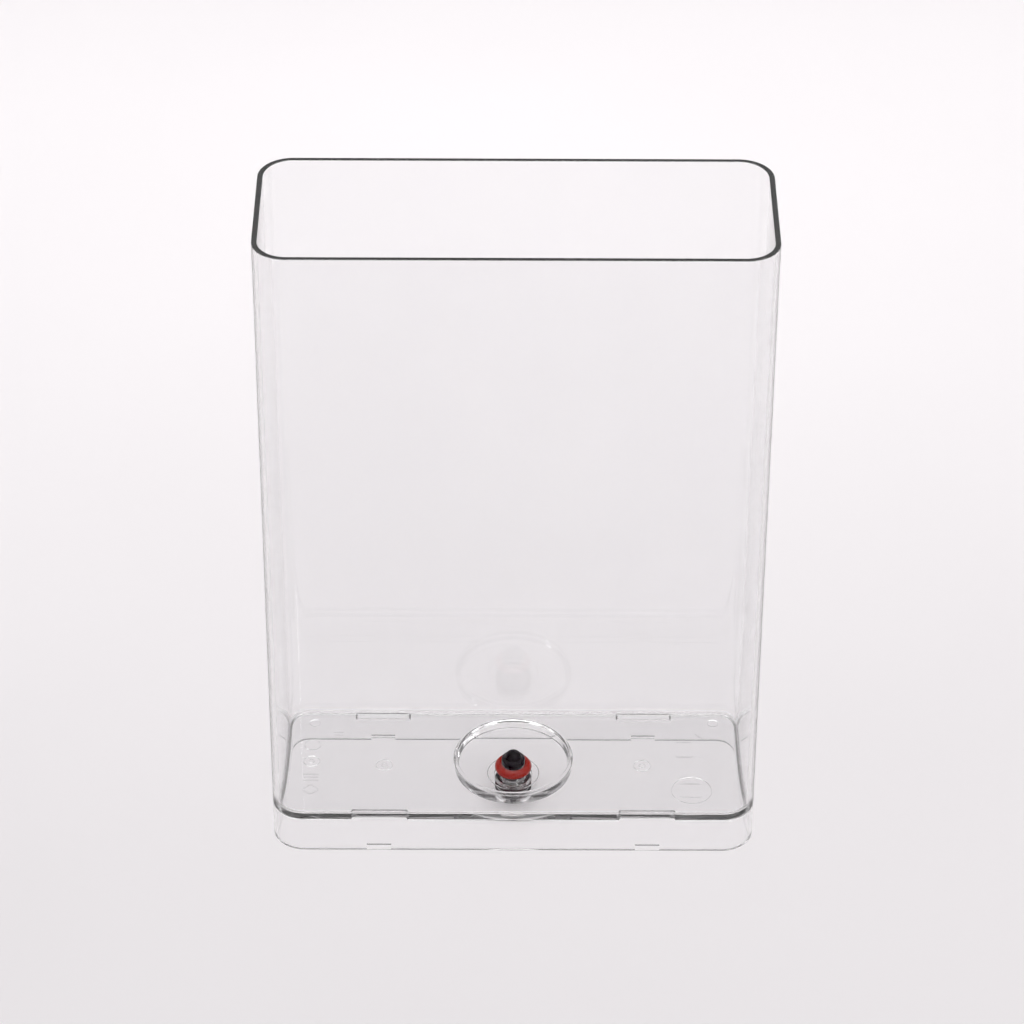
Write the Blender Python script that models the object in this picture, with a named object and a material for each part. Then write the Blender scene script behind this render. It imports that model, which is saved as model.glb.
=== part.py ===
"""Clear fresh-water tank with a raised floor, a round sump and a spring-closed outlet valve.

Metres, +Z up. The origin is the middle of the footprint, on the surface the tank stands on.
The wide faces look along -Y (front) and +Y (back).
"""

import math

import bmesh
import bpy

MM = 0.001

# Outer box
WIDTH = 220.0 * MM
DEPTH = 81.0 * MM
HEIGHT = 320.0 * MM
CORNER_R = 15.0 * MM

# Walls: the inside is drafted, so the wall thickens from the rim to the floor
WALL_RIM = 2.4 * MM
WALL_FLOOR = 3.0 * MM
EDGE_R = 0.5 * MM
FLOOR_FILLET = 3.0 * MM

# Raised floor and the skirt below it
FLOOR_TOP = 19.3 * MM
FLOOR_UNDER = 16.8 * MM
SKIRT_FOOT_WALL = 2.3 * MM
SKIRT_TOP_WALL = 3.0 * MM
SKIRT_FILLET = 0.8 * MM

# Round sump, a little behind the middle of the floor
SUMP_Y = 5.8 * MM
SUMP_R = 26.1 * MM
SUMP_FLOOR_R = 25.2 * MM
SUMP_FLOOR = 15.1 * MM
SUMP_UNDER = 11.2 * MM
SUMP_OUTER_R = 27.0 * MM
SUMP_OUTER_TOP_R = 27.3 * MM

# Boss, collar, spigot and bore are turned about the valve's upright axis, near the front of the sump
VALVE_Y = 0.4 * MM
BOSS_R = 11.8 * MM
BOSS_UNDER = 10.4 * MM
COLLAR_R = 8.75 * MM
COLLAR_UNDER = 8.2 * MM
SPIGOT_R = 7.9 * MM
SPIGOT_END = 0.8 * MM
BORE_R = 5.2 * MM

# Two O-rings in grooves round the spigot
SEAL_WIRE_R = 1.15 * MM
SEAL_R = 7.3 * MM
GROOVE_R = 6.0 * MM
GROOVE_HALF = 1.18 * MM
SEAL_HEIGHTS = {"outlet_o_ring_upper": 6.3 * MM, "outlet_o_ring_lower": 3.4 * MM}

# Stem guide moulded across the bore
GUIDE_TOP = 10.6 * MM
GUIDE_UNDER = 9.2 * MM
GUIDE_HUB_R = 3.1 * MM
GUIDE_BORE_R = 1.9 * MM
GUIDE_ARM = 1.5 * MM

# Notches inside the skirt's foot and pockets under the floor, mirrored left-right and front-back
NOTCH_X = 61.3 * MM
NOTCH_WIDTH = 11.2 * MM
NOTCH_HEIGHT = 2.7 * MM
NOTCH_SKIN = 0.9 * MM
POCKET_X = 61.0 * MM
POCKET_Y = 32.5 * MM
POCKET_WIDTH = 26.4 * MM
POCKET_TOP = 18.2 * MM
POCKET_SLOPE = 0.8 * MM

# Valve: the ring lies on the sump floor round the bore
RING_R = 6.47 * MM
RING_WIRE_R = 2.05 * MM
RING_Z = SUMP_FLOOR + RING_WIRE_R + 0.02 * MM
STEM_R = 1.6 * MM
STEM_END = 2.2 * MM
LIP_R = 4.7 * MM
NECK_R = 4.2 * MM
HEAD_R = 5.4 * MM
TIP_R = 3.9 * MM
HEAD_TOP = SUMP_FLOOR + 11.0 * MM
RETAINER_R = 4.6 * MM
RETAINER_TOP = 3.2 * MM
RETAINER_UNDER = 1.4 * MM
SPRING_R = 3.4 * MM
SPRING_WIRE_R = 0.3 * MM
SPRING_TURNS = 4.5

# Points round every ring of the body: corner, long side, short side
CORNER_POINTS = 7
LONG_POINTS = 9
SHORT_POINTS = 5
RING_POINTS = 4 * CORNER_POINTS + 2 * LONG_POINTS + 2 * SHORT_POINTS


def clear_scene():
    for obj in list(bpy.data.objects):
        bpy.data.objects.remove(obj, do_unlink=True)


def material(name, colour, roughness, metallic=0.0, transmission=0.0, ior=1.5):
    mat = bpy.data.materials.new(name)
    mat.use_nodes = True
    shader = mat.node_tree.nodes["Principled BSDF"]
    shader.inputs["Base Color"].default_value = (*colour, 1.0)
    shader.inputs["Roughness"].default_value = roughness
    shader.inputs["Metallic"].default_value = metallic
    shader.inputs["Transmission Weight"].default_value = transmission
    shader.inputs["IOR"].default_value = ior
    return mat


def new_object(name, bm, mat):
    bmesh.ops.recalc_face_normals(bm, faces=bm.faces)
    mesh = bpy.data.meshes.new(name)
    bm.to_mesh(mesh)
    bm.free()
    obj = bpy.data.objects.new(name, mesh)
    bpy.context.collection.objects.link(obj)
    obj.data.materials.append(mat)
    return obj


def smooth(obj, degrees=30.0):
    bpy.context.view_layer.objects.active = obj
    obj.data.shade_smooth()
    obj.data.set_sharp_from_angle(angle=math.radians(degrees))


def rounded_rectangle(inset, z):
    """One ring parallel to the outer outline, moved in by inset, starting at the middle of the +X side."""
    half_x = WIDTH / 2 - inset
    half_y = DEPTH / 2 - inset
    radius = CORNER_R - inset
    quarters = []
    for turn in range(4):
        start = turn * math.pi / 2
        sign_x = 1 if turn in (0, 3) else -1
        sign_y = 1 if turn in (0, 1) else -1
        centre_x = sign_x * (half_x - radius)
        centre_y = sign_y * (half_y - radius)
        arc = []
        for k in range(CORNER_POINTS):
            angle = start + k * math.pi / 2 / (CORNER_POINTS - 1)
            arc.append((centre_x + radius * math.cos(angle), centre_y + radius * math.sin(angle)))
        quarters.append(arc)
    points = []
    for turn in range(4):
        arc = quarters[turn]
        after = quarters[(turn + 1) % 4][0]
        points.extend(arc)
        between = LONG_POINTS if turn in (0, 2) else SHORT_POINTS
        for k in range(1, between + 1):
            t = k / (between + 1)
            x = arc[-1][0] + t * (after[0] - arc[-1][0])
            y = arc[-1][1] + t * (after[1] - arc[-1][1])
            points.append((x, y))
    shift = (SHORT_POINTS + 1) // 2
    points = points[-shift:] + points[:-shift]
    return [(x, y, z) for x, y in points]


def circle(radius, z, count=RING_POINTS, centre_y=VALVE_Y):
    ring = []
    for k in range(count):
        angle = 2 * math.pi * k / count
        ring.append((radius * math.cos(angle), centre_y + radius * math.sin(angle), z))
    return ring


def loft(rings, closed):
    """Quads between neighbouring rings; closed joins the last ring to the first, else both ends are capped."""
    bm = bmesh.new()
    loops = [[bm.verts.new(p) for p in ring] for ring in rings]
    count = len(rings[0])
    pairs = list(zip(loops[:-1], loops[1:]))
    if closed:
        pairs.append((loops[-1], loops[0]))
    for lower, upper in pairs:
        for k in range(count):
            n = (k + 1) % count
            bm.faces.new((lower[k], lower[n], upper[n], upper[k]))
    if not closed:
        bm.faces.new(loops[0])
        bm.faces.new(loops[-1])
    return bm


def turned(profile, count):
    """Solid of revolution about the valve axis; the profile's first and last points lie on the axis."""
    bm = bmesh.new()
    bottom = bm.verts.new((0.0, VALVE_Y, profile[0][1]))
    top = bm.verts.new((0.0, VALVE_Y, profile[-1][1]))
    loops = [[bm.verts.new(p) for p in circle(r, z, count)] for r, z in profile[1:-1]]
    for k in range(count):
        n = (k + 1) % count
        bm.faces.new((bottom, loops[0][n], loops[0][k]))
        bm.faces.new((top, loops[-1][k], loops[-1][n]))
        for lower, upper in zip(loops[:-1], loops[1:]):
            bm.faces.new((lower[k], lower[n], upper[n], upper[k]))
    return bm


def torus(radius, wire, z, count, section):
    rings = []
    for k in range(section):
        angle = 2 * math.pi * k / section
        rings.append(circle(radius + wire * math.cos(angle), z + wire * math.sin(angle), count))
    return loft(rings, closed=True)


def box(low, high):
    bm = bmesh.new()
    bmesh.ops.create_cube(bm, size=1.0)
    for v in bm.verts:
        for axis in range(3):
            v.co[axis] = low[axis] if v.co[axis] < 0 else high[axis]
    return bm


def body_rings():
    """Every ring of the closed shell, from the skirt's foot over the rim, into the tank and out of the spigot."""
    shell = [
        (SKIRT_FOOT_WALL, 0.0),
        (0.3 * MM, 0.0),
        (0.0, 0.3 * MM),
        (0.0, HEIGHT - EDGE_R),
        (0.3 * EDGE_R, HEIGHT - 0.3 * EDGE_R),
        (EDGE_R, HEIGHT),
        (WALL_RIM - EDGE_R, HEIGHT),
        (WALL_RIM - 0.3 * EDGE_R, HEIGHT - 0.3 * EDGE_R),
        (WALL_RIM, HEIGHT - EDGE_R),
        (WALL_FLOOR, FLOOR_TOP + FLOOR_FILLET),
        (WALL_FLOOR + 0.3 * FLOOR_FILLET, FLOOR_TOP + 0.3 * FLOOR_FILLET),
        (WALL_FLOOR + FLOOR_FILLET, FLOOR_TOP),
    ]
    sump = [
        (SUMP_R + 0.8 * MM, FLOOR_TOP),
        (SUMP_R + 0.2 * MM, FLOOR_TOP - 0.2 * MM),
        (SUMP_R, FLOOR_TOP - 0.8 * MM),
        (SUMP_FLOOR_R + 0.1 * MM, SUMP_FLOOR + 0.8 * MM),
        (SUMP_FLOOR_R - 0.2 * MM, SUMP_FLOOR + 0.2 * MM),
        (SUMP_FLOOR_R - 0.8 * MM, SUMP_FLOOR),
    ]
    bore = [
        (BORE_R + 0.2 * MM, SUMP_FLOOR),
        (BORE_R, SUMP_FLOOR - 0.2 * MM),
        (BORE_R, SPIGOT_END + 0.3 * MM),
        (BORE_R + 0.3 * MM, SPIGOT_END),
        (SPIGOT_R - 0.4 * MM, SPIGOT_END),
        (SPIGOT_R, SPIGOT_END + 0.4 * MM),
    ]
    for centre in sorted(SEAL_HEIGHTS.values()):
        bore.append((SPIGOT_R, centre - GROOVE_HALF))
        bore.append((GROOVE_R, centre - GROOVE_HALF))
        bore.append((GROOVE_R, centre + GROOVE_HALF))
        bore.append((SPIGOT_R, centre + GROOVE_HALF))
    bore += [
        (SPIGOT_R, COLLAR_UNDER),
        (COLLAR_R - 0.2 * MM, COLLAR_UNDER),
        (COLLAR_R, COLLAR_UNDER + 0.2 * MM),
        (COLLAR_R, BOSS_UNDER),
        (BOSS_R - 0.3 * MM, BOSS_UNDER),
        (BOSS_R, BOSS_UNDER + 0.3 * MM),
        (BOSS_R, SUMP_UNDER),
    ]
    under = [
        (SUMP_OUTER_R - 0.4 * MM, SUMP_UNDER),
        (SUMP_OUTER_R, SUMP_UNDER + 0.4 * MM),
        (SUMP_OUTER_TOP_R, FLOOR_UNDER - 0.5 * MM),
        (SUMP_OUTER_TOP_R + 0.5 * MM, FLOOR_UNDER),
    ]
    skirt = [
        (SKIRT_TOP_WALL + SKIRT_FILLET, FLOOR_UNDER),
        (SKIRT_TOP_WALL + 0.3 * SKIRT_FILLET, FLOOR_UNDER - 0.3 * SKIRT_FILLET),
        (SKIRT_TOP_WALL, FLOOR_UNDER - SKIRT_FILLET),
    ]
    rings = [rounded_rectangle(inset, z) for inset, z in shell]
    rings += [circle(r, z, RING_POINTS, SUMP_Y) for r, z in sump]
    rings += [circle(r, z) for r, z in bore]
    rings += [circle(r, z, RING_POINTS, SUMP_Y) for r, z in under]
    rings += [rounded_rectangle(inset, z) for inset, z in skirt]
    return rings


def apply_boolean(target, bm, operation, mat):
    tool = new_object("tool", bm, mat)
    tool.hide_render = True
    tool.display_type = "WIRE"
    modifier = target.modifiers.new("cut", "BOOLEAN")
    modifier.operation = operation
    modifier.solver = "EXACT"
    modifier.object = tool
    bpy.context.view_layer.update()
    result = bpy.data.meshes.new_from_object(target.evaluated_get(bpy.context.evaluated_depsgraph_get()))
    target.modifiers.clear()
    target.data = result
    bpy.data.objects.remove(tool, do_unlink=True)


def pocket(x, face):
    """Shallow recess in the floor's underside against the skirt, narrower at its ceiling."""
    ends = sorted((face * POCKET_Y, face * (DEPTH / 2 - SKIRT_TOP_WALL - 0.2 * MM)))
    bm = box(
        (x - POCKET_WIDTH / 2, ends[0], FLOOR_UNDER - 1.0 * MM),
        (x + POCKET_WIDTH / 2, ends[1], POCKET_TOP),
    )
    for v in bm.verts:
        if v.co.z > FLOOR_UNDER:
            v.co.x -= math.copysign(POCKET_SLOPE, v.co.x - x)
    return bm


def guide_hub():
    return loft(
        [
            circle(GUIDE_BORE_R, GUIDE_UNDER, 24),
            circle(GUIDE_HUB_R, GUIDE_UNDER, 24),
            circle(GUIDE_HUB_R, GUIDE_TOP, 24),
            circle(GUIDE_BORE_R, GUIDE_TOP, 24),
        ],
        closed=True,
    )


def guide_arm(index):
    """One of three arms from the hub into the bore's wall."""
    bm = box(
        (GUIDE_HUB_R - 0.7 * MM, -GUIDE_ARM / 2, GUIDE_UNDER + 0.1 * MM),
        (BORE_R + 0.7 * MM, GUIDE_ARM / 2, GUIDE_TOP - 0.1 * MM),
    )
    angle = math.pi / 2 + index * 2 * math.pi / 3
    for v in bm.verts:
        x, y = v.co.x, v.co.y
        v.co.x = x * math.cos(angle) - y * math.sin(angle)
        v.co.y = VALVE_Y + x * math.sin(angle) + y * math.cos(angle)
    return bm


def tank_body(mat):
    body = new_object("tank_body", loft(body_rings(), closed=True), mat)
    for side in (-1, 1):
        for face in (-1, 1):
            ends = sorted((face * (DEPTH / 2 - 6.0 * MM), face * (DEPTH / 2 - NOTCH_SKIN)))
            x = side * NOTCH_X
            notch = box(
                (x - NOTCH_WIDTH / 2, ends[0], -2.0 * MM),
                (x + NOTCH_WIDTH / 2, ends[1], NOTCH_HEIGHT),
            )
            apply_boolean(body, notch, "DIFFERENCE", mat)
            apply_boolean(body, pocket(side * POCKET_X, face), "DIFFERENCE", mat)
    apply_boolean(body, guide_hub(), "UNION", mat)
    for index in range(3):
        apply_boolean(body, guide_arm(index), "UNION", mat)
    smooth(body)
    return body


def valve_plunger(mat):
    profile = [
        (0.0, STEM_END),
        (STEM_R - 0.3 * MM, STEM_END),
        (STEM_R, STEM_END + 0.3 * MM),
        (STEM_R, SUMP_FLOOR - 1.4 * MM),
        (LIP_R - 0.2 * MM, SUMP_FLOOR - 0.8 * MM),
        (LIP_R, SUMP_FLOOR - 0.6 * MM),
        (LIP_R, SUMP_FLOOR - 0.2 * MM),
        (NECK_R, SUMP_FLOOR + 0.3 * MM),
        (NECK_R, SUMP_FLOOR + 3.7 * MM),
        (HEAD_R - 0.2 * MM, SUMP_FLOOR + 4.3 * MM),
        (HEAD_R, SUMP_FLOOR + 4.6 * MM),
        (HEAD_R, SUMP_FLOOR + 6.2 * MM),
        (HEAD_R - 0.3 * MM, SUMP_FLOOR + 6.9 * MM),
        (HEAD_R - 0.9 * MM, SUMP_FLOOR + 7.3 * MM),
        (TIP_R + 0.15 * MM, SUMP_FLOOR + 7.6 * MM),
    ]
    centre = HEAD_TOP - TIP_R
    for k in range(1, 6):
        angle = math.radians(15.0 + 13.0 * k)
        profile.append((TIP_R * math.cos(angle), centre + TIP_R * math.sin(angle)))
    profile.append((0.0, HEAD_TOP))
    plunger = new_object("valve_plunger", turned(profile, 32), mat)
    smooth(plunger, 35.0)
    return plunger


def spring_retainer(mat):
    """Cap on the stem's end: a cup that hugs the stem, with a broad flange under the spring."""
    inside = STEM_R + 0.02 * MM
    rings = [
        (RETAINER_R, RETAINER_UNDER + 0.4 * MM),
        (RETAINER_R, RETAINER_TOP - 0.9 * MM),
        (RETAINER_R - 0.3 * MM, RETAINER_TOP - 0.6 * MM),
        (2.8 * MM, RETAINER_TOP - 0.6 * MM),
        (2.6 * MM, RETAINER_TOP + 0.6 * MM),
        (inside + 0.2 * MM, RETAINER_TOP + 0.6 * MM),
        (inside, RETAINER_TOP + 0.4 * MM),
        (inside, STEM_END - 0.02 * MM),
    ]
    bm = bmesh.new()
    count = 32
    loops = [[bm.verts.new(p) for p in circle(r, z, count)] for r, z in rings]
    inner = bm.verts.new((0.0, VALVE_Y, STEM_END - 0.02 * MM))
    rim = [bm.verts.new(p) for p in circle(RETAINER_R - 0.4 * MM, RETAINER_UNDER, count)]
    under = bm.verts.new((0.0, VALVE_Y, RETAINER_UNDER))
    for k in range(count):
        n = (k + 1) % count
        for lower, upper in zip(loops[:-1], loops[1:]):
            bm.faces.new((lower[k], lower[n], upper[n], upper[k]))
        bm.faces.new((loops[-1][k], loops[-1][n], inner))
        bm.faces.new((rim[k], rim[n], loops[0][n], loops[0][k]))
        bm.faces.new((under, rim[n], rim[k]))
    retainer = new_object("spring_retainer", bm, mat)
    smooth(retainer)
    return retainer


def valve_spring(mat):
    """Wire swept along a helix, ends capped."""
    low = RETAINER_TOP - 0.6 * MM + SPRING_WIRE_R + 0.02 * MM
    high = GUIDE_UNDER - SPRING_WIRE_R - 0.02 * MM
    steps = int(SPRING_TURNS * 20)
    section = 8
    pitch_slope = (high - low) / (SPRING_TURNS * 2 * math.pi * SPRING_R)
    rings = []
    for k in range(steps + 1):
        angle = 2 * math.pi * SPRING_TURNS * k / steps
        z = low + (high - low) * k / steps
        ring = []
        for s in range(section):
            around = 2 * math.pi * s / section
            out = SPRING_R + SPRING_WIRE_R * math.cos(around)
            lean = SPRING_WIRE_R * math.sin(around)
            x = out * math.cos(angle) + lean * pitch_slope * math.sin(angle)
            y = out * math.sin(angle) - lean * pitch_slope * math.cos(angle)
            ring.append((x, VALVE_Y + y, z + lean))
        rings.append(ring)
    spring = new_object("valve_spring", loft(rings, closed=False), mat)
    smooth(spring, 50.0)
    return spring


def seals(red, black):
    ring = new_object("seat_ring", torus(RING_R, RING_WIRE_R, RING_Z, 40, 14), red)
    smooth(ring, 60.0)
    for name, height in SEAL_HEIGHTS.items():
        o_ring = new_object(name, torus(SEAL_R, SEAL_WIRE_R, height, 40, 10), black)
        smooth(o_ring, 60.0)


def build():
    clear_scene()
    clear = material("clear_plastic", (0.97, 0.98, 0.98), 0.02, transmission=1.0, ior=1.57)
    black = material("black_plastic", (0.012, 0.012, 0.013), 0.45)
    rubber = material("black_rubber", (0.015, 0.015, 0.015), 0.6)
    red = material("red_silicone", (0.62, 0.035, 0.015), 0.35)
    steel = material("spring_steel", (0.62, 0.62, 0.6), 0.3, metallic=1.0)
    tank_body(clear)
    valve_plunger(black)
    spring_retainer(black)
    valve_spring(steel)
    seals(red, rubber)


build()
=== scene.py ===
"""Looks for the clear fresh-water tank: finer clear moulding, valve pieces, floor, light and camera."""

import math

import bmesh
import bpy
from mathutils import Matrix, Vector


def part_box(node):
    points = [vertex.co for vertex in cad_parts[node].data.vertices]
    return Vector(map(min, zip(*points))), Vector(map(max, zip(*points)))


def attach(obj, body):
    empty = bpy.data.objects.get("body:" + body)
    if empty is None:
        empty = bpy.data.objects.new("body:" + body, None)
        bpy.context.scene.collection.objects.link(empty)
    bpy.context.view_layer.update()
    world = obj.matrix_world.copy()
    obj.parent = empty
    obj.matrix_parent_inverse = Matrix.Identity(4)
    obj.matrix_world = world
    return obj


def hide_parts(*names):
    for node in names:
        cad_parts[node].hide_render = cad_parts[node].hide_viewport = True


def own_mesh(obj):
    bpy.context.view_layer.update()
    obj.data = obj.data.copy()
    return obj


MM = 0.001

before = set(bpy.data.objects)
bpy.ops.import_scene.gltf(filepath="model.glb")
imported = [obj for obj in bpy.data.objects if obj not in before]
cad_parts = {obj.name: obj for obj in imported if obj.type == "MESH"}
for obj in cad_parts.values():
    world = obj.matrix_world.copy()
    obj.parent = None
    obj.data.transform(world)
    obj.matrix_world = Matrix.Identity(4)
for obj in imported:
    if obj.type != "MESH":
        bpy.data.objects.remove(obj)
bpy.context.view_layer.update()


# ---------------------------------------------------------------- sizes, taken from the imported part
def size_of(node):
    low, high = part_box(node)
    return [high[k] - low[k] for k in range(3)]


WIDTH, DEPTH, HEIGHT = size_of("tank_body")
CORNER_R = 15.0 * MM
WALL_RIM = 2.4 * MM
WALL_FLOOR = 3.0 * MM
FLOOR_TOP = 19.3 * MM
FLOOR_UNDER = 16.8 * MM
FLOOR_FILLET = 3.0 * MM
SKIRT_FOOT_WALL = 2.3 * MM
SKIRT_TOP_WALL = 3.0 * MM
SUMP_Y = 5.8 * MM
SUMP_R = 26.1 * MM
SUMP_FLOOR_R = 25.2 * MM
SUMP_FLOOR = 15.1 * MM
SUMP_UNDER = 11.2 * MM
SUMP_OUTER_R = 27.0 * MM
SUMP_OUTER_TOP_R = 27.3 * MM
VALVE_Y = 0.4 * MM
BOSS_R = 11.8 * MM
BOSS_UNDER = 10.4 * MM
COLLAR_R = 8.75 * MM
COLLAR_UNDER = 8.2 * MM
SPIGOT_R = 7.9 * MM
SPIGOT_END = 0.8 * MM
BORE_R = 5.2 * MM
GROOVE_R = 6.0 * MM
GROOVE_HALF = 1.18 * MM
SEAL_WIRE = 1.15 * MM
SEAL_R = 7.3 * MM
SEAL_UPPER = 6.3 * MM
SEAL_LOWER = 3.4 * MM
FIT_GAP = 0.02 * MM
RING_WIRE = 2.05 * MM
RING_R = 6.47 * MM
GUIDE_TOP = 10.6 * MM
GUIDE_UNDER = 9.2 * MM
GUIDE_HUB_R = 3.1 * MM
GUIDE_BORE_R = 1.9 * MM
GUIDE_ARM = 1.5 * MM
NOTCH_X = 61.3 * MM
NOTCH_WIDTH = 11.2 * MM
NOTCH_HEIGHT = 2.7 * MM
NOTCH_SKIN = 0.9 * MM
POCKET_X = 61.0 * MM
POCKET_Y = 32.5 * MM
POCKET_WIDTH = 26.4 * MM
POCKET_TOP = 18.2 * MM
POCKET_SLOPE = 0.8 * MM
HEAD_R = 5.4 * MM
TIP_R = 3.9 * MM
LIP_R = 4.7 * MM
NECK_R = 4.2 * MM
STEM_R = 1.6 * MM
PLUNGER_HEIGHT = 11.0 * MM
SPRING_WIRE = 0.3 * MM
SPRING_TURNS = 4.5

# Plain moulding marks on the floor, in millimetres from its middle: rings as x, y, radius; frames as
# x, y, width, depth; lines as x and y of both ends.
MARK_LINE = 0.6 * MM
MARK_HEIGHT = 0.15 * MM
MARK_ROOT = 0.3 * MM
MARK_SIDES = 48
MARK_RINGS = (
    (-92.8, 28.7, 2.4),
    (93.3, 29.4, 2.4),
    (-59.6, -1.6, 3.7),
    (-59.6, -1.6, 1.4),
    (59.5, -1.6, 3.9),
    (59.5, -1.6, 1.4),
    (-93.2, 12.8, 3.7),
    (-93.2, 1.0, 3.7),
    (-93.2, 1.0, 1.2),
    (81.8, -19.1, 9.2),
)
MARK_FRAMES = ((79.3, 10.0, 8.0, 10.5), (81.4, -19.3, 9.6, 9.6))
MARK_LINES = (
    (-96.4, -8.6, -90.0, -8.6),
    (-96.4, -10.6, -90.0, -10.6),
    (-96.4, -12.6, -90.0, -12.6),
    (-96.4, -18.6, -93.6, -16.2),
    (-92.6, -16.2, -89.8, -18.6),
    (-96.4, -19.8, -93.6, -22.2),
    (-92.6, -22.2, -89.8, -19.8),
    (86.9, 4.8, 86.9, 15.2),
    (88.6, 17.4, 85.2, 21.0),
    (-83.4, 20.0, -79.4, 20.0),
    (-83.4, 21.8, -79.4, 21.8),
)

# Every ring of the tank's shell has the same number of points, so neighbours join as plain quads.
CORNER_POINTS = 33
LONG_POINTS = 31
SHORT_POINTS = 9
RING_POINTS = 4 * CORNER_POINTS + 2 * LONG_POINTS + 2 * SHORT_POINTS


# ---------------------------------------------------------------- node helpers
class Nodes:
    """A small builder round a material's node tree."""

    def __init__(self, name):
        self.mat = bpy.data.materials.new(name)
        self.mat.use_nodes = True
        self.tree = self.mat.node_tree
        self.shader = self.tree.nodes["Principled BSDF"]

    def add(self, kind, **values):
        node = self.tree.nodes.new(kind)
        for key, value in values.items():
            setattr(node, key, value)
        return node

    def link(self, source, target):
        self.tree.links.new(source, target)

    def coords(self, scale):
        where = self.add("ShaderNodeTexCoord")
        mapping = self.add("ShaderNodeMapping")
        mapping.inputs["Scale"].default_value = scale
        self.link(where.outputs["Object"], mapping.inputs["Vector"])
        return mapping.outputs["Vector"]

    def noise(self, vector, scale, detail=3.0, roughness=0.5):
        node = self.add("ShaderNodeTexNoise")
        node.inputs["Scale"].default_value = scale
        node.inputs["Detail"].default_value = detail
        node.inputs["Roughness"].default_value = roughness
        self.link(vector, node.inputs["Vector"])
        return node.outputs["Fac"]

    def remap(self, value, low, high, out_low, out_high):
        node = self.add("ShaderNodeMapRange")
        node.inputs["From Min"].default_value = low
        node.inputs["From Max"].default_value = high
        node.inputs["To Min"].default_value = out_low
        node.inputs["To Max"].default_value = out_high
        self.link(value, node.inputs["Value"])
        return node.outputs["Result"]

    def mix(self, factor, first, second):
        node = self.add("ShaderNodeMix", data_type="RGBA")
        node.inputs["A"].default_value = (*first, 1.0)
        node.inputs["B"].default_value = (*second, 1.0)
        self.link(factor, node.inputs["Factor"])
        return node.outputs["Result"]

    def bump(self, height, strength, distance):
        node = self.add("ShaderNodeBump")
        node.inputs["Strength"].default_value = strength
        node.inputs["Distance"].default_value = distance
        self.link(height, node.inputs["Height"])
        self.link(node.outputs["Normal"], self.shader.inputs["Normal"])
        return node


ABSORPTION = 9.5
RIM_CLARITY = 0.86
RIM_DEPTH = 0.4 * MM


def clear_plastic():
    """Clear moulding: faint haze and ripple, slight darkening with depth, a rim that scatters a little."""
    n = Nodes("clear_moulded_plastic")
    n.shader.inputs["IOR"].default_value = 1.57
    split = n.add("ShaderNodeSeparateXYZ")
    n.link(n.coords((1.0, 1.0, 1.0)), split.inputs["Vector"])
    rim = n.remap(split.outputs["Z"], HEIGHT - RIM_DEPTH, HEIGHT - 0.1 * MM, 1.0, RIM_CLARITY)
    n.link(rim, n.shader.inputs["Transmission Weight"])
    haze = n.noise(n.coords((1.0, 1.0, 0.35)), 28.0, 3.0)
    n.link(n.mix(haze, (0.985, 0.985, 0.99), (1.0, 1.0, 1.0)), n.shader.inputs["Base Color"])
    n.link(n.remap(haze, 0.3, 0.7, 0.0, 0.012), n.shader.inputs["Roughness"])
    n.bump(n.noise(n.coords((1.0, 1.0, 0.12)), 45.0, 2.0), 0.04, 0.0001)
    volume = n.add("ShaderNodeVolumeAbsorption")
    volume.inputs["Color"].default_value = (0.0, 0.0, 0.0, 1.0)
    volume.inputs["Density"].default_value = ABSORPTION
    n.link(volume.outputs["Volume"], n.tree.nodes["Material Output"].inputs["Volume"])
    return n.mat


def red_silicone():
    n = Nodes("red_silicone")
    where = n.coords((1.0, 1.0, 1.0))
    mottle = n.noise(where, 900.0, 4.0)
    n.link(n.mix(mottle, (0.27, 0.010, 0.004), (0.35, 0.018, 0.007)), n.shader.inputs["Base Color"])
    n.link(n.remap(mottle, 0.3, 0.7, 0.16, 0.26), n.shader.inputs["Roughness"])
    n.shader.inputs["IOR"].default_value = 1.43
    n.shader.inputs["Subsurface Weight"].default_value = 0.15
    n.shader.inputs["Subsurface Radius"].default_value = (0.0012, 0.0003, 0.0002)
    n.bump(n.noise(where, 3500.0, 2.0), 0.12, 0.00005)
    return n.mat


def black_matt(name, low, high, grain):
    n = Nodes(name)
    where = n.coords((1.0, 1.0, 1.0))
    mottle = n.noise(where, 700.0, 5.0)
    n.link(n.mix(mottle, (0.002, 0.002, 0.0022), (0.005, 0.0045, 0.005)), n.shader.inputs["Base Color"])
    n.shader.inputs["Specular IOR Level"].default_value = 0.22
    n.link(n.remap(mottle, 0.3, 0.7, low, high), n.shader.inputs["Roughness"])
    n.bump(n.noise(where, grain, 3.0), 0.2, 0.00006)
    return n.mat


def spring_steel():
    n = Nodes("bright_spring_steel")
    n.shader.inputs["Metallic"].default_value = 1.0
    where = n.coords((1.0, 1.0, 6.0))
    drawn = n.noise(where, 1500.0, 4.0)
    n.link(n.mix(drawn, (0.56, 0.55, 0.53), (0.68, 0.67, 0.65)), n.shader.inputs["Base Color"])
    n.link(n.remap(drawn, 0.3, 0.7, 0.18, 0.34), n.shader.inputs["Roughness"])
    return n.mat


def studio_floor():
    n = Nodes("studio_floor")
    where = n.coords((1.0, 1.0, 1.0))
    soft = n.noise(where, 3.0, 2.0)
    n.link(n.mix(soft, (0.83, 0.80, 0.815), (0.85, 0.82, 0.835)), n.shader.inputs["Base Color"])
    n.link(n.remap(soft, 0.3, 0.7, 0.28, 0.40), n.shader.inputs["Roughness"])
    return n.mat


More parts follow.
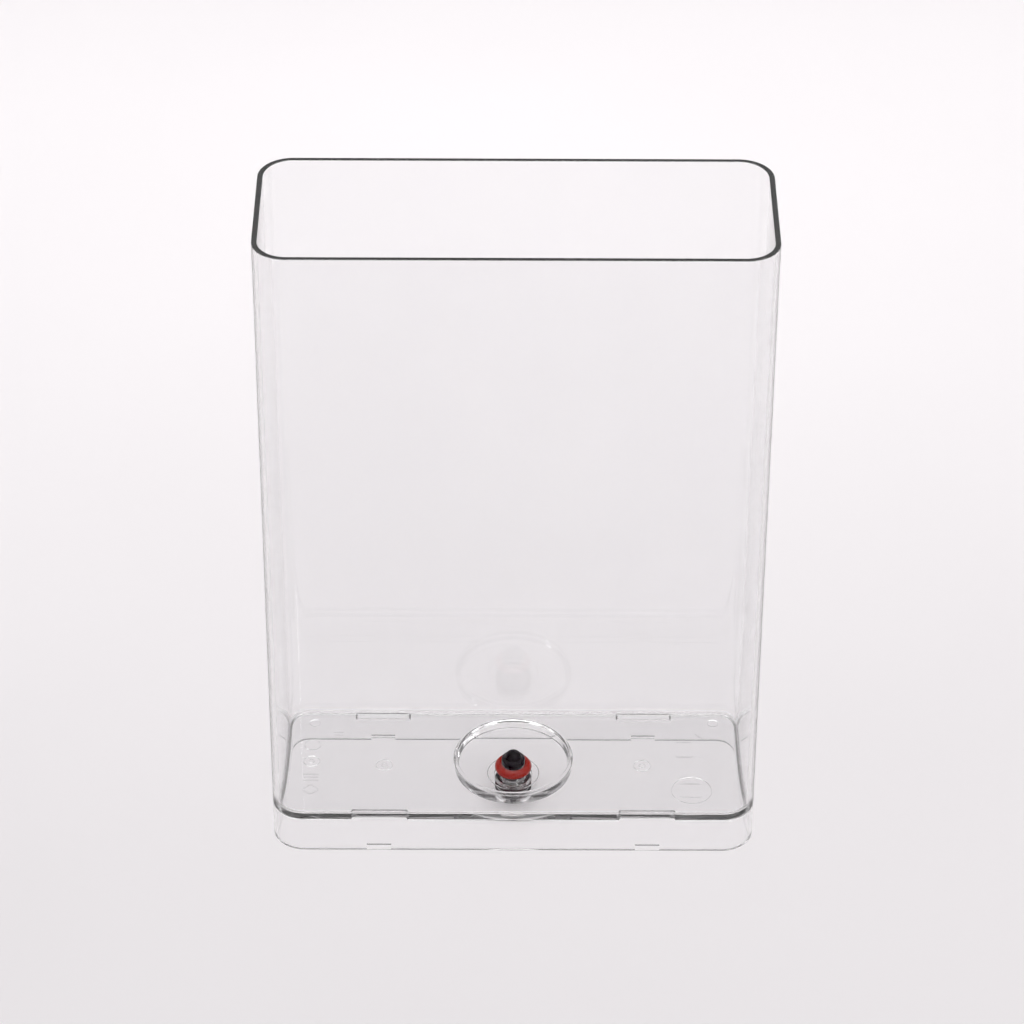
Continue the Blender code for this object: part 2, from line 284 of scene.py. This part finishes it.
# ---------------------------------------------------------------- mesh helpers
def new_piece(name, bm, mat, body, angle=30.0):
    bmesh.ops.recalc_face_normals(bm, faces=bm.faces)
    mesh = bpy.data.meshes.new(name)
    bm.to_mesh(mesh)
    bm.free()
    obj = bpy.data.objects.new(name, mesh)
    bpy.context.scene.collection.objects.link(obj)
    obj.data.materials.append(mat)
    mesh.shade_smooth()
    mesh.set_sharp_from_angle(angle=math.radians(angle))
    if body:
        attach(obj, body)
    return obj


def rounded_rectangle(inset, z):
    """The tank's outline moved inwards by inset, its first point on +X like a circle's."""
    half_x = WIDTH / 2 - inset
    half_y = DEPTH / 2 - inset
    radius = CORNER_R - inset
    arcs = []
    for turn in range(4):
        sign_x = 1 if turn in (0, 3) else -1
        sign_y = 1 if turn in (0, 1) else -1
        centre_x = sign_x * (half_x - radius)
        centre_y = sign_y * (half_y - radius)
        arc = []
        for k in range(CORNER_POINTS):
            angle = turn * math.pi / 2 + k * math.pi / 2 / (CORNER_POINTS - 1)
            arc.append((centre_x + radius * math.cos(angle), centre_y + radius * math.sin(angle)))
        arcs.append(arc)
    points = []
    for turn in range(4):
        arc = arcs[turn]
        after = arcs[(turn + 1) % 4][0]
        points.extend(arc)
        between = LONG_POINTS if turn in (0, 2) else SHORT_POINTS
        for k in range(1, between + 1):
            t = k / (between + 1)
            x = arc[-1][0] + t * (after[0] - arc[-1][0])
            y = arc[-1][1] + t * (after[1] - arc[-1][1])
            points.append((x, y))
    shift = (SHORT_POINTS + 1) // 2
    points = points[-shift:] + points[:-shift]
    return [(x, y, z) for x, y in points]


def circle(radius, z, count=RING_POINTS, centre_y=VALVE_Y):
    ring = []
    for k in range(count):
        angle = 2 * math.pi * k / count
        ring.append((radius * math.cos(angle), centre_y + radius * math.sin(angle), z))
    return ring


def loft(rings, closed):
    """Quads between neighbouring rings; closed joins the last to the first, else both ends are capped."""
    bm = bmesh.new()
    loops = [[bm.verts.new(p) for p in ring] for ring in rings]
    count = len(rings[0])
    pairs = list(zip(loops[:-1], loops[1:]))
    if closed:
        pairs.append((loops[-1], loops[0]))
    for lower, upper in pairs:
        for k in range(count):
            n = (k + 1) % count
            bm.faces.new((lower[k], lower[n], upper[n], upper[k]))
    if not closed:
        bm.faces.new(loops[0])
        bm.faces.new(loops[-1])
    return bm


def turned(profile, count):
    """Solid turned about the valve's axis; the profile starts and ends on the axis."""
    bm = bmesh.new()
    bottom = bm.verts.new((0.0, VALVE_Y, profile[0][1]))
    top = bm.verts.new((0.0, VALVE_Y, profile[-1][1]))
    loops = [[bm.verts.new(p) for p in circle(r, z, count)] for r, z in profile[1:-1]]
    for k in range(count):
        n = (k + 1) % count
        bm.faces.new((bottom, loops[0][n], loops[0][k]))
        bm.faces.new((top, loops[-1][k], loops[-1][n]))
        for lower, upper in zip(loops[:-1], loops[1:]):
            bm.faces.new((lower[k], lower[n], upper[n], upper[k]))
    return bm


def torus(radius, wire, z, count, section):
    rings = []
    for k in range(section):
        angle = 2 * math.pi * k / section
        rings.append(circle(radius + wire * math.cos(angle), z + wire * math.sin(angle), count))
    return loft(rings, closed=True)


def rounded(path, fillets, steps=5):
    """Rounds the corners of an open profile of (distance, height) points, each by its radius in fillets."""
    out = [path[0]]
    for k in range(1, len(path) - 1):
        radius = fillets.get(k, 0.0)
        here = Vector(path[k])
        if radius <= 0:
            out.append(path[k])
            continue
        back = (Vector(path[k - 1]) - here).normalized()
        ahead = (Vector(path[k + 1]) - here).normalized()
        half = back.angle(ahead) / 2
        reach = radius / math.tan(half)
        centre = here + (back + ahead).normalized() * (radius / math.sin(half))
        start = here + back * reach - centre
        end = here + ahead * reach - centre
        sweep = start.angle_signed(end)
        for s in range(steps + 1):
            turn = -sweep * s / steps
            x = start.x * math.cos(turn) - start.y * math.sin(turn)
            y = start.x * math.sin(turn) + start.y * math.cos(turn)
            out.append((centre.x + x, centre.y + y))
    out.append(path[-1])
    return out


def box(low, high):
    bm = bmesh.new()
    bmesh.ops.create_cube(bm, size=1.0)
    for v in bm.verts:
        for axis in range(3):
            v.co[axis] = low[axis] if v.co[axis] < 0 else high[axis]
    return bm


def apply_boolean(target, bm, operation):
    """Cuts bm from the target's mesh, or joins it on."""
    bmesh.ops.recalc_face_normals(bm, faces=bm.faces)
    mesh = bpy.data.meshes.new("tool")
    bm.to_mesh(mesh)
    bm.free()
    tool = bpy.data.objects.new("tool", mesh)
    bpy.context.scene.collection.objects.link(tool)
    modifier = target.modifiers.new("cut", "BOOLEAN")
    modifier.operation = operation
    modifier.solver = "EXACT"
    modifier.object = tool
    bpy.context.view_layer.update()
    graph = bpy.context.evaluated_depsgraph_get()
    result = bpy.data.meshes.new_from_object(target.evaluated_get(graph))
    target.modifiers.clear()
    target.data = result
    bpy.data.objects.remove(tool, do_unlink=True)


# ---------------------------------------------------------------- tank
def body_rings():
    """Rings of the shell: up the outside from the foot, over the rim, down inside, out of the spigot."""
    foot = rounded(
        [(SKIRT_TOP_WALL, 10 * MM), (SKIRT_FOOT_WALL, 0.0), (0.0, 0.0), (0.0, 100 * MM)],
        {1: 0.25 * MM, 2: 0.3 * MM},
        3,
    )[1:-1]
    rim = rounded(
        [(0.0, 100 * MM), (0.0, HEIGHT), (WALL_RIM, HEIGHT), (WALL_RIM + 0.4 * MM, HEIGHT - 60 * MM)],
        {1: 0.45 * MM, 2: 0.45 * MM},
        5,
    )[1:-1]
    floor = rounded(
        [(WALL_FLOOR - 1.0 * MM, 100 * MM), (WALL_FLOOR, FLOOR_TOP), (WALL_FLOOR + 5 * MM, FLOOR_TOP)],
        {1: FLOOR_FILLET},
        6,
    )[1:-1]
    sump = rounded(
        [
            (SUMP_R + 3 * MM, FLOOR_TOP),
            (SUMP_R, FLOOR_TOP),
            (SUMP_FLOOR_R, SUMP_FLOOR),
            (BORE_R, SUMP_FLOOR),
        ],
        {1: 0.8 * MM, 2: 0.4 * MM},
    )[1:-1]
    bore = rounded(
        [
            (SUMP_FLOOR_R, SUMP_FLOOR),
            (BORE_R, SUMP_FLOOR),
            (BORE_R, SPIGOT_END),
            (SPIGOT_R, SPIGOT_END),
            (SPIGOT_R, SPIGOT_END + 1.2 * MM),
        ],
        {1: 0.25 * MM, 2: 0.3 * MM, 3: 0.4 * MM},
    )[1:-1]
    grooves = []
    for centre in (SEAL_LOWER, SEAL_UPPER):
        grooves.append((SPIGOT_R, centre - GROOVE_HALF))
        grooves.append((GROOVE_R, centre - GROOVE_HALF))
        grooves.append((GROOVE_R, centre + GROOVE_HALF))
        grooves.append((SPIGOT_R, centre + GROOVE_HALF))
    outside = rounded(
        [
            (SPIGOT_R, COLLAR_UNDER - 0.4 * MM),
            (SPIGOT_R, COLLAR_UNDER),
            (COLLAR_R, COLLAR_UNDER),
            (COLLAR_R, BOSS_UNDER),
            (BOSS_R, BOSS_UNDER),
            (BOSS_R + 0.1 * MM, SUMP_UNDER),
            (SUMP_OUTER_R, SUMP_UNDER),
        ],
        {2: 0.2 * MM, 4: 0.4 * MM, 5: 0.3 * MM},
    )[1:-1]
    under = rounded(
        [
            (BOSS_R, SUMP_UNDER),
            (SUMP_OUTER_R, SUMP_UNDER),
            (SUMP_OUTER_TOP_R, FLOOR_UNDER),
            (SUMP_OUTER_TOP_R + 3.0 * MM, FLOOR_UNDER),
        ],
        {1: 0.4 * MM, 2: 0.5 * MM},
    )[1:-1]
    skirt = rounded(
        [
            (SKIRT_TOP_WALL + 8 * MM, FLOOR_UNDER),
            (SKIRT_TOP_WALL, FLOOR_UNDER),
            (SKIRT_FOOT_WALL + 0.1 * MM, 3 * MM),
        ],
        {1: 0.8 * MM},
    )[1:-1]
    rings = [rounded_rectangle(inset, z) for inset, z in foot + rim + floor]
    rings += [circle(r, z, RING_POINTS, SUMP_Y) for r, z in sump]
    rings += [circle(r, z) for r, z in bore + grooves + outside]
    rings += [circle(r, z, RING_POINTS, SUMP_Y) for r, z in under]
    rings += [rounded_rectangle(inset, z) for inset, z in skirt]
    return rings


def guide_arm(index):
    """One of the three arms that hold the stem guide's hub in the bore."""
    bm = box(
        (GUIDE_HUB_R - 0.7 * MM, -GUIDE_ARM / 2, GUIDE_UNDER + 0.1 * MM),
        (BORE_R + 0.7 * MM, GUIDE_ARM / 2, GUIDE_TOP - 0.1 * MM),
    )
    angle = math.pi / 2 + index * 2 * math.pi / 3
    for v in bm.verts:
        x, y = v.co.x, v.co.y
        v.co.x = x * math.cos(angle) - y * math.sin(angle)
        v.co.y = VALVE_Y + x * math.sin(angle) + y * math.cos(angle)
    return bm


def add_prism(bm, points, low, high):
    """Upright prism over a convex outline, added to bm."""
    under = [bm.verts.new((x, y, low)) for x, y in points]
    over = [bm.verts.new((x, y, high)) for x, y in points]
    count = len(points)
    for k in range(count):
        n = (k + 1) % count
        bm.faces.new((under[k], under[n], over[n], over[k]))
    bm.faces.new(under[::-1])
    bm.faces.new(over)


def add_line(bm, start, end):
    """Raised line on the tank floor."""
    along = (Vector(end) - Vector(start)).normalized() * MARK_LINE / 2
    across = Vector((-along.y, along.x))
    a = Vector(start) - along
    b = Vector(end) + along
    corners = [a - across, b - across, b + across, a + across]
    add_prism(bm, [(c.x, c.y) for c in corners], FLOOR_TOP - MARK_ROOT, FLOOR_TOP + MARK_HEIGHT)


def add_ring(bm, x, y, radius):
    """Raised ring on the tank floor."""
    loops = []
    for r, z in (
        (radius - MARK_LINE / 2, FLOOR_TOP - MARK_ROOT),
        (radius + MARK_LINE / 2, FLOOR_TOP - MARK_ROOT),
        (radius + MARK_LINE / 4, FLOOR_TOP + MARK_HEIGHT),
        (radius - MARK_LINE / 4, FLOOR_TOP + MARK_HEIGHT),
    ):
        loops.append([bm.verts.new((px, y + py, z)) for px, py in arc_points(x, r, MARK_SIDES)])
    for k in range(MARK_SIDES):
        n = (k + 1) % MARK_SIDES
        for first, second in zip(loops, loops[1:] + loops[:1]):
            bm.faces.new((first[k], first[n], second[n], second[k]))


def arc_points(x, radius, count):
    step = 2 * math.pi / count
    return [(x + radius * math.cos(k * step), radius * math.sin(k * step)) for k in range(count)]


def add_frame(bm, x, y, width, depth):
    """Raised rectangle outline made of four lines that do not touch."""
    gap = MARK_LINE * 1.2
    for sign in (-1, 1):
        edge_x = x + sign * width / 2
        edge_y = y + sign * depth / 2
        add_line(bm, (x - width / 2 + gap, edge_y), (x + width / 2 - gap, edge_y))
        add_line(bm, (edge_x, y - depth / 2 + gap), (edge_x, y + depth / 2 - gap))


def floor_marks():
    """Plain moulding marks: ejector rings and simple geometric signs in two columns."""
    bm = bmesh.new()
    for x, y, radius in MARK_RINGS:
        add_ring(bm, x * MM, y * MM, radius * MM)
    for x, y, width, depth in MARK_FRAMES:
        add_frame(bm, x * MM, y * MM, width * MM, depth * MM)
    for x0, y0, x1, y1 in MARK_LINES:
        add_line(bm, (x0 * MM, y0 * MM), (x1 * MM, y1 * MM))
    return bm


def foot_notch(side, face):
    """Shallow recess in the outside of the skirt's foot."""
    ends = sorted((face * (DEPTH / 2 - 6.0 * MM), face * (DEPTH / 2 - NOTCH_SKIN)))
    x = side * NOTCH_X
    half = NOTCH_WIDTH / 2
    return box((x - half, ends[0], -2.0 * MM), (x + half, ends[1], NOTCH_HEIGHT))


def floor_pocket(side, face):
    """Flat recess under the floor against the skirt, with sloped ends and a rounded ceiling edge."""
    ends = sorted((face * POCKET_Y, face * (DEPTH / 2 - SKIRT_TOP_WALL - 0.2 * MM)))
    x = side * POCKET_X
    half = POCKET_WIDTH / 2
    bm = box((x - half, ends[0], FLOOR_UNDER - 1.0 * MM), (x + half, ends[1], POCKET_TOP))
    for v in bm.verts:
        if v.co.z > FLOOR_UNDER:
            v.co.x -= math.copysign(POCKET_SLOPE, v.co.x - x)
    ceiling = [e for e in bm.edges if min(v.co.z for v in e.verts) > FLOOR_UNDER]
    bmesh.ops.bevel(bm, geom=ceiling, offset=0.3 * MM, segments=3, affect="EDGES")
    return bm


def clear_tank():
    tank = new_piece("clear_tank", loft(body_rings(), closed=True), clear_plastic(), None)
    for side in (-1, 1):
        for face in (-1, 1):
            apply_boolean(tank, foot_notch(side, face), "DIFFERENCE")
            apply_boolean(tank, floor_pocket(side, face), "DIFFERENCE")
    apply_boolean(tank, floor_marks(), "UNION")
    hub = loft(
        [
            circle(GUIDE_BORE_R, GUIDE_UNDER, 48),
            circle(GUIDE_HUB_R, GUIDE_UNDER, 48),
            circle(GUIDE_HUB_R, GUIDE_TOP, 48),
            circle(GUIDE_BORE_R, GUIDE_TOP, 48),
        ],
        closed=True,
    )
    apply_boolean(tank, hub, "UNION")
    for index in range(3):
        apply_boolean(tank, guide_arm(index), "UNION")
    tank.data.shade_smooth()
    tank.data.set_sharp_from_angle(angle=math.radians(25.0))
    weighted = tank.modifiers.new("weighted", "WEIGHTED_NORMAL")
    weighted.mode = "FACE_AREA"
    weighted.weight = 80
    weighted.keep_sharp = True
    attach(tank, "tank")
    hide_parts("tank_body")
    tank.visible_shadow = False
    tank.visible_diffuse = False


# ---------------------------------------------------------------- valve
def plunger():
    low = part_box("valve_plunger")[0]
    base = SUMP_FLOOR
    top = base + PLUNGER_HEIGHT
    centre = top - TIP_R
    profile = [
        (0.0, low[2]),
        (STEM_R, low[2]),
        (STEM_R, base - 1.4 * MM),
        (LIP_R, base - 0.7 * MM),
        (LIP_R, base - 0.1 * MM),
        (NECK_R, base + 0.3 * MM),
        (NECK_R, base + 3.7 * MM),
        (HEAD_R, base + 4.4 * MM),
        (HEAD_R, base + 7.0 * MM),
        (TIP_R + 0.1 * MM, base + 7.6 * MM),
    ]
    profile = rounded(profile, {1: 0.3 * MM, 3: 0.2 * MM, 4: 0.2 * MM, 7: 0.3 * MM, 8: 0.9 * MM}, 6)
    for k in range(1, 16):
        angle = math.radians(8.0 + 80.0 * k / 15)
        profile.append((TIP_R * math.cos(angle), centre + TIP_R * math.sin(angle)))
    profile.append((0.0, top))
    mat = black_matt("black_plunger", 0.28, 0.4, 2600.0)
    obj = new_piece("plunger", turned(profile, 96), mat, "valve")
    obj.visible_glossy = False
    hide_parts("valve_plunger")


def retainer():
    low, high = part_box("spring_retainer")
    radius = (high[0] - low[0]) / 2
    stem_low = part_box("valve_plunger")[0][2]
    inside = STEM_R + FIT_GAP
    profile = [
        (0.0, low[2]),
        (radius, low[2]),
        (radius, high[2] - 1.2 * MM),
        (2.7 * MM, high[2] - 1.2 * MM),
        (2.6 * MM, high[2]),
        (inside, high[2]),
        (inside, stem_low - FIT_GAP),
        (0.0, stem_low - FIT_GAP),
    ]
    profile = rounded(profile, {1: 0.35 * MM, 2: 0.25 * MM, 4: 0.2 * MM, 5: 0.15 * MM}, 4)
    mat = black_matt("black_retainer", 0.42, 0.55, 2200.0)
    obj = new_piece("retainer", turned(profile, 72), mat, "valve")
    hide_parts("spring_retainer")


def rings():
    centre = SUMP_FLOOR + RING_WIRE + FIT_GAP
    ring = new_piece("red_ring", torus(RING_R, RING_WIRE, centre, 120, 36), red_silicone(), "valve", 80.0)
    ring.visible_glossy = False
    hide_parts("seat_ring")
    rubber = black_matt("black_nitrile", 0.34, 0.5, 1800.0)
    for node, name, z in (
        ("outlet_o_ring_upper", "outlet_seal_upper", SEAL_UPPER),
        ("outlet_o_ring_lower", "outlet_seal_lower", SEAL_LOWER),
    ):
        seal = new_piece(name, torus(SEAL_R, SEAL_WIRE, z, 120, 28), rubber, "tank", 80.0)
        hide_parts(node)


def spring():
    low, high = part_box("valve_spring")
    wire = SPRING_WIRE
    radius = (high[0] - low[0]) / 2 - wire
    bottom = low[2] + wire
    top = high[2] - wire
    turns = SPRING_TURNS
    steps = int(turns * 48)
    section = 16
    slope = (top - bottom) / (turns * 2 * math.pi * radius)
    coils = []
    for k in range(steps + 1):
        angle = 2 * math.pi * turns * k / steps
        z = bottom + (top - bottom) * k / steps
        ring = []
        for s in range(section):
            around = 2 * math.pi * s / section
            out = radius + wire * math.cos(around)
            lean = wire * math.sin(around)
            x = out * math.cos(angle) + lean * slope * math.sin(angle)
            y = out * math.sin(angle) - lean * slope * math.cos(angle)
            ring.append((x, VALVE_Y + y, z + lean))
        coils.append(ring)
    obj = new_piece("coil_spring", loft(coils, closed=False), spring_steel(), None, 60.0)
    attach(obj, "tank")
    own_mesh(obj)
    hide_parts("valve_spring")


# ---------------------------------------------------------------- studio
# The black level takes the faint veil of wall reflections off the dark valve pieces.
BLACK_LEVEL = (0.085, 0.085, 0.085)
GLASS_BOUNCES = 32
SKY_STRENGTH = 1.75
SKY_STOPS = ((0.0, 0.45), (0.30, 0.42), (0.42, 0.18), (0.80, 0.18), (0.90, 1.0))


def area_light(name, place, target, size, power, spread=180.0):
    data = bpy.data.lights.new(name, "AREA")
    data.shape = "RECTANGLE"
    data.size, data.size_y = size
    data.energy = power
    data.spread = math.radians(spread)
    obj = bpy.data.objects.new(name, data)
    obj.location = place
    direction = Vector(target) - Vector(place)
    obj.rotation_euler = direction.to_track_quat("-Z", "Y").to_euler()
    bpy.context.scene.collection.objects.link(obj)


def studio_sky():
    """A pale sweep near the horizon, a dim ring above it and a soft overhead light."""
    world = bpy.data.worlds.new("studio")
    bpy.context.scene.world = world
    world.use_nodes = True
    tree = world.node_tree
    where = tree.nodes.new("ShaderNodeTexCoord")
    split = tree.nodes.new("ShaderNodeSeparateXYZ")
    ramp = tree.nodes.new("ShaderNodeValToRGB")
    tree.links.new(where.outputs["Generated"], split.inputs["Vector"])
    tree.links.new(split.outputs["Z"], ramp.inputs["Fac"])
    tree.links.new(ramp.outputs["Color"], tree.nodes["Background"].inputs["Color"])
    tree.nodes["Background"].inputs["Strength"].default_value = SKY_STRENGTH
    stops = ramp.color_ramp.elements
    for k, (height, level) in enumerate(SKY_STOPS):
        stop = stops[k] if k < len(stops) else stops.new(height)
        stop.position = height
        stop.color = (level, level, level, 1.0)


def studio():
    bm = bmesh.new()
    bmesh.ops.create_grid(bm, x_segments=8, y_segments=8, size=12.0)
    floor = new_piece("floor", bm, studio_floor(), None)
    studio_sky()
    area_light("back_strip", (0.0, 0.62, 1.0), (0.0, 0.62, 0.0), (1.6, 0.4), 2.73, spread=110.0)
    area_light("left_box", (-1.2, -0.7, 1.0), (0.0, 0.0, 0.15), (0.35, 1.2), 1.6)
    area_light("right_box", (0.9, -1.0, 1.1), (0.0, 0.0, 0.05), (0.2, 0.5), 3.0)
    view = bpy.context.scene.view_settings
    view.view_transform = "Standard"
    view.use_curve_mapping = True
    view.curve_mapping.black_level = BLACK_LEVEL
    view.curve_mapping.update()
    cycles = bpy.context.scene.cycles
    cycles.max_bounces = GLASS_BOUNCES
    cycles.glossy_bounces = GLASS_BOUNCES
    cycles.transmission_bounces = GLASS_BOUNCES


def camera():
    """Seen from in front and above, from nearly two metres with a long lens."""
    pitch = 0.6312
    yaw = 0.0024
    roll = 0.0048
    distance = 1.82265
    target = Vector((-0.0011242, 0.0, 0.162195))
    forward = Vector((math.sin(yaw) * math.cos(pitch), math.cos(yaw) * math.cos(pitch), -math.sin(pitch)))
    right = forward.cross(Vector((0.0, 0.0, 1.0))).normalized()
    up = right.cross(forward)
    right_rolled = math.cos(roll) * right + math.sin(roll) * up
    up_rolled = math.cos(roll) * up - math.sin(roll) * right
    data = bpy.data.cameras.new("camera")
    data.sensor_width = 36.0
    data.lens = 144.89
    data.clip_start = 0.05
    obj = bpy.data.objects.new("camera", data)
    rotation = Matrix((right_rolled, up_rolled, -forward)).transposed()
    obj.matrix_world = Matrix.Translation(target - distance * forward) @ rotation.to_4x4()
    bpy.context.scene.collection.objects.link(obj)
    bpy.context.scene.camera = obj


clear_tank()
plunger()
retainer()
rings()
spring()
studio()
camera()
